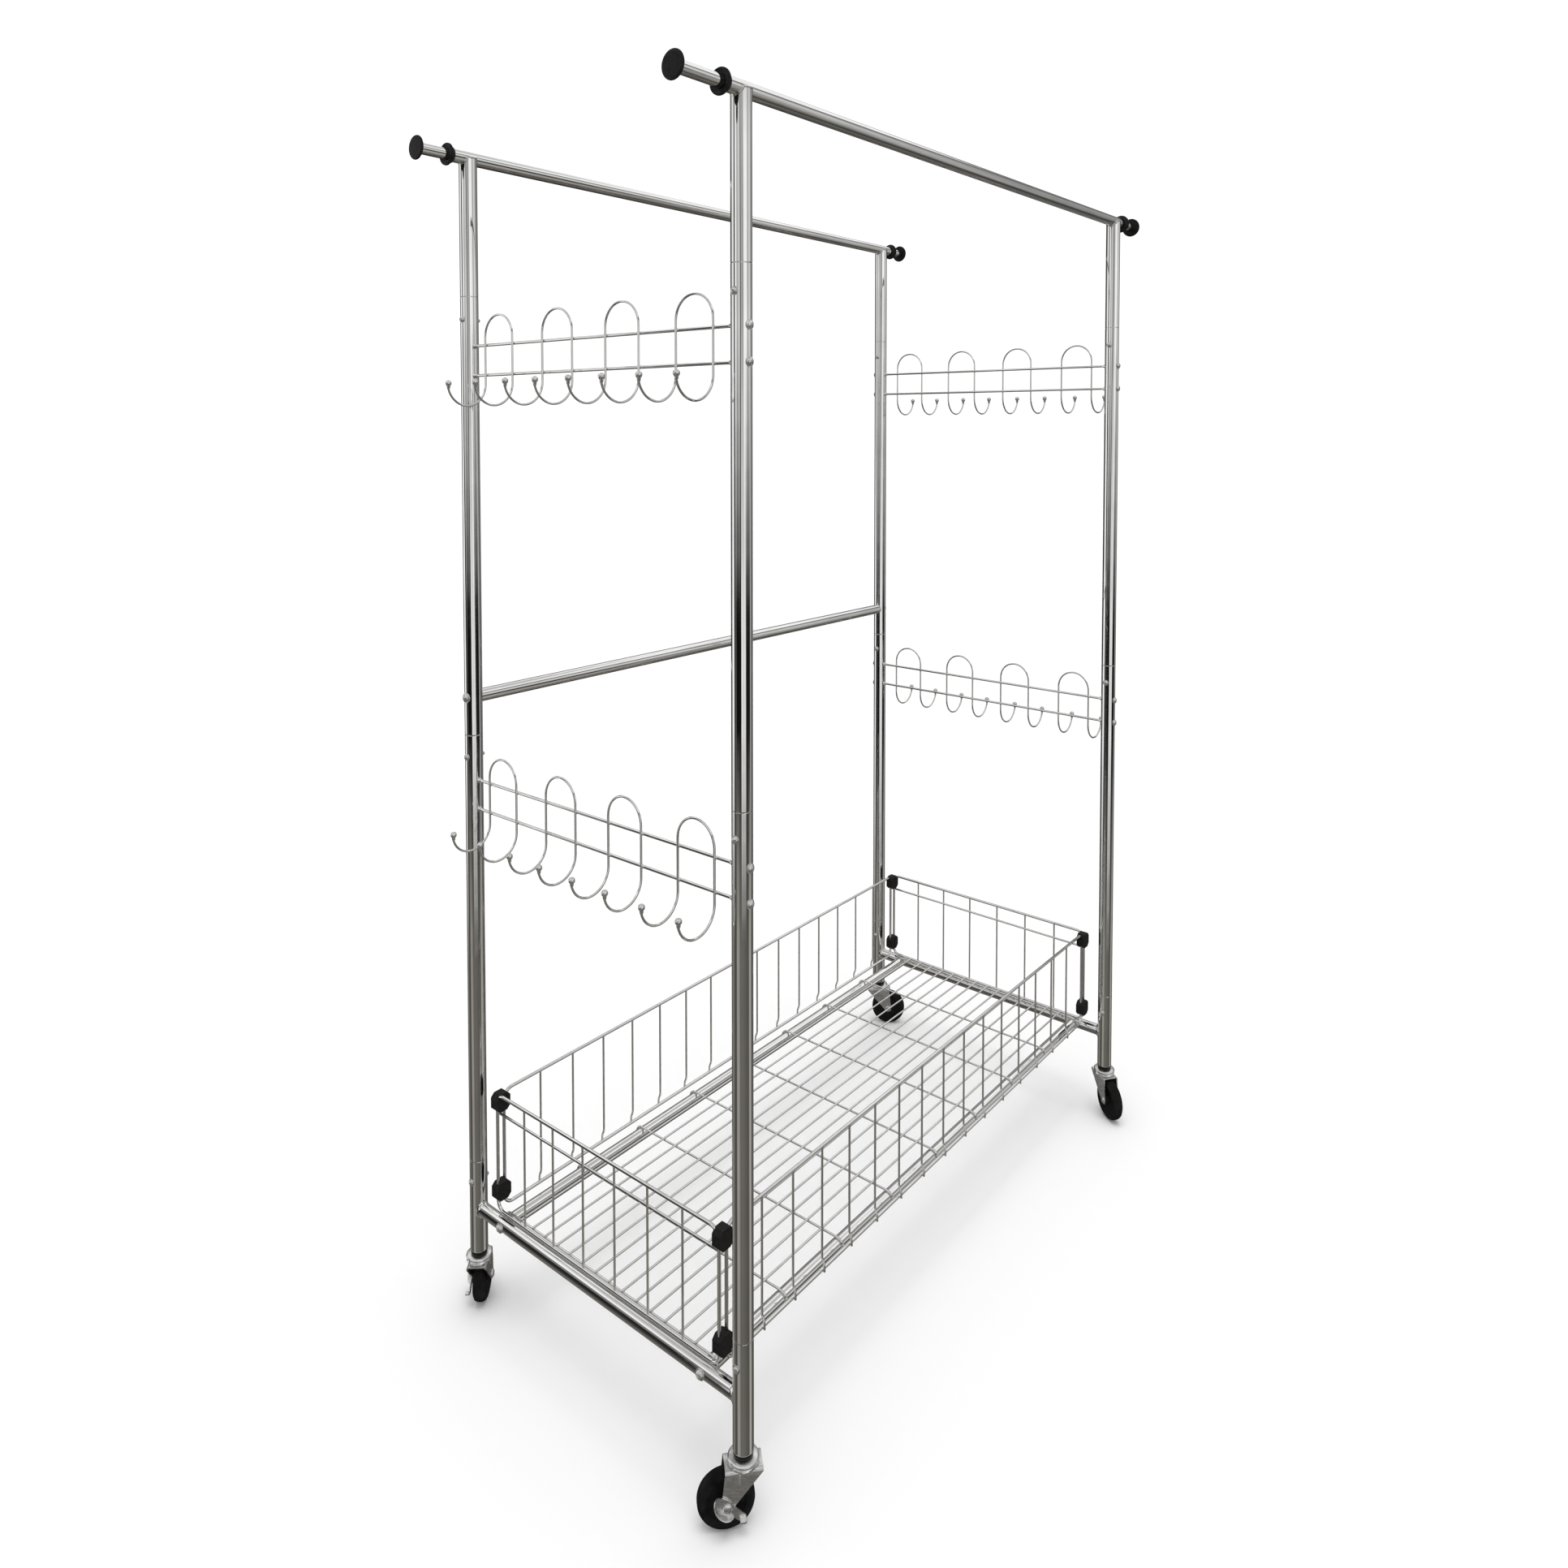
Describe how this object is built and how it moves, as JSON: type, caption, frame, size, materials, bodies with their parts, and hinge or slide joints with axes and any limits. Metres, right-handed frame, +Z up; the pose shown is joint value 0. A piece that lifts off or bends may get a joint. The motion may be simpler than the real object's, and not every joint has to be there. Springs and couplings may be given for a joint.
{
  "type": "rolling garment rack",
  "caption": "Chrome rolling garment rack with parallel hanging rails, telescopic end rods, hook racks and a low wire basket.",
  "frame": {"origin": "on the floor, under the middle of the rack's footprint with the end rods and the wheels as they stand at rest", "axes": "+X along the hanging rails towards the plain castors, +Y across the rack towards the side with the mid rail, +Z up"},
  "size_m": [1.236, 0.6102, 1.7014],
  "materials": {
    "chrome": "mirror-bright chrome plate on steel tube and wire",
    "zinc": "bright zinc plate on pressed steel",
    "black_plastic": "moulded black, fine satin texture",
    "black_rubber": "satin black wheel"
  },
  "bodies": {
    "frame": {"base_frame_left": "chrome", "base_frame_right": "chrome", "basket_fence_front": "chrome", "basket_fence_left": "chrome", "basket_fence_rear": "chrome", "basket_fence_right": "chrome", "basket_floor": "chrome", "castor_stem_front_left": "zinc", "castor_stem_front_right": "zinc", "castor_stem_rear_left": "zinc", "castor_stem_rear_right": "zinc", "corner_clip_lower_front_left": "black_plastic", "corner_clip_lower_front_right": "black_plastic", "corner_clip_lower_rear_left": "black_plastic", "corner_clip_lower_rear_right": "black_plastic", "corner_clip_upper_front_left": "black_plastic", "corner_clip_upper_front_right": "black_plastic", "corner_clip_upper_rear_left": "black_plastic", "corner_clip_upper_rear_right": "black_plastic", "hook_rack_lower_left": "chrome", "hook_rack_lower_right": "chrome", "hook_rack_upper_left": "chrome", "hook_rack_upper_right": "chrome", "lower_post_front_left": "chrome", "lower_post_front_right": "chrome", "lower_post_rear_left": "chrome", "lower_post_rear_right": "chrome", "mid_rail": "chrome", "mid_rail_bolt_left": "chrome", "mid_rail_bolt_right": "chrome", "rail_collar_front_left": "black_plastic", "rail_collar_front_right": "black_plastic", "rail_collar_rear_left": "black_plastic", "rail_collar_rear_right": "black_plastic", "shelf_tube_front": "chrome", "shelf_tube_rear": "chrome", "top_rail_front": "chrome", "top_rail_rear": "chrome", "upper_post_front_left": "chrome", "upper_post_front_right": "chrome", "upper_post_rear_left": "chrome", "upper_post_rear_right": "chrome"},
    "rod_front_left": {"extension_rod_front_left": "chrome", "rod_end_cap_front_left": "black_plastic"},
    "rod_front_right": {"extension_rod_front_right": "chrome", "rod_end_cap_front_right": "black_plastic"},
    "rod_rear_left": {"extension_rod_rear_left": "chrome", "rod_end_cap_rear_left": "black_plastic"},
    "rod_rear_right": {"extension_rod_rear_right": "chrome", "rod_end_cap_rear_right": "black_plastic"},
    "castor_front_left": {"castor_fork_front_left": "zinc"},
    "castor_front_right": {"castor_fork_front_right": "zinc"},
    "castor_rear_left": {"castor_fork_rear_left": "zinc"},
    "castor_rear_right": {"castor_fork_rear_right": "zinc"},
    "wheel_front_left": {"castor_wheel_front_left": "black_rubber"},
    "wheel_front_right": {"castor_wheel_front_right": "black_rubber"},
    "wheel_rear_left": {"castor_wheel_rear_left": "black_rubber"},
    "wheel_rear_right": {"castor_wheel_rear_right": "black_rubber"},
    "lever_front_left": {"brake_lever_front_left": "zinc"},
    "lever_rear_left": {"brake_lever_rear_left": "zinc"}
  },
  "joints": [
    {"name": "rod_slide_front_left", "type": "slide", "parent": "frame", "child": "rod_front_left", "axis": [-1, 0, 0], "range_m": [-0.069, 0.13]},
    {"name": "rod_slide_front_right", "type": "slide", "parent": "frame", "child": "rod_front_right", "axis": [1, 0, 0], "range_m": [-0.043, 0.156]},
    {"name": "rod_slide_rear_left", "type": "slide", "parent": "frame", "child": "rod_rear_left", "axis": [-1, 0, 0], "range_m": [-0.043, 0.156]},
    {"name": "rod_slide_rear_right", "type": "slide", "parent": "frame", "child": "rod_rear_right", "axis": [1, 0, 0], "range_m": [-0.031, 0.168]},
    {"name": "castor_swivel_front_left", "type": "hinge", "parent": "frame", "child": "castor_front_left", "pos_m": [-0.507, -0.25684, 0.0765], "axis": [0, 0, 1], "continuous": true},
    {"name": "castor_swivel_front_right", "type": "hinge", "parent": "frame", "child": "castor_front_right", "pos_m": [0.533, -0.25684, 0.0765], "axis": [0, 0, 1], "continuous": true},
    {"name": "castor_swivel_rear_left", "type": "hinge", "parent": "frame", "child": "castor_rear_left", "pos_m": [-0.507, 0.26316, 0.0765], "axis": [0, 0, 1], "continuous": true},
    {"name": "castor_swivel_rear_right", "type": "hinge", "parent": "frame", "child": "castor_rear_right", "pos_m": [0.533, 0.26316, 0.0765], "axis": [0, 0, 1], "continuous": true},
    {"name": "wheel_spin_front_left", "type": "hinge", "parent": "castor_front_left", "child": "wheel_front_left", "pos_m": [-0.52285, -0.24306, 0.0347], "axis": [-0.6561, -0.7547, 0], "continuous": true},
    {"name": "wheel_spin_front_right", "type": "hinge", "parent": "castor_front_right", "child": "wheel_front_right", "pos_m": [0.52066, -0.27383, 0.0347], "axis": [0.809, -0.5878, 0], "continuous": true},
    {"name": "wheel_spin_rear_left", "type": "hinge", "parent": "castor_rear_left", "child": "wheel_rear_left", "pos_m": [-0.49139, 0.27721, 0.0347], "axis": [-0.6691, 0.7431, 0], "continuous": true},
    {"name": "wheel_spin_rear_right", "type": "hinge", "parent": "castor_rear_right", "child": "wheel_rear_right", "pos_m": [0.54413, 0.24535, 0.0347], "axis": [0.848, 0.5299, 0], "continuous": true},
    {"name": "brake_front_left", "type": "hinge", "parent": "castor_front_left", "child": "lever_front_left", "pos_m": [-0.52285, -0.24306, 0.0347], "axis": [-0.6561, -0.7547, 0], "range_deg": [0, 20]},
    {"name": "brake_rear_left", "type": "hinge", "parent": "castor_rear_left", "child": "lever_rear_left", "pos_m": [-0.49139, 0.27721, 0.0347], "axis": [-0.6691, 0.7431, 0], "range_deg": [0, 20]}
  ]
}
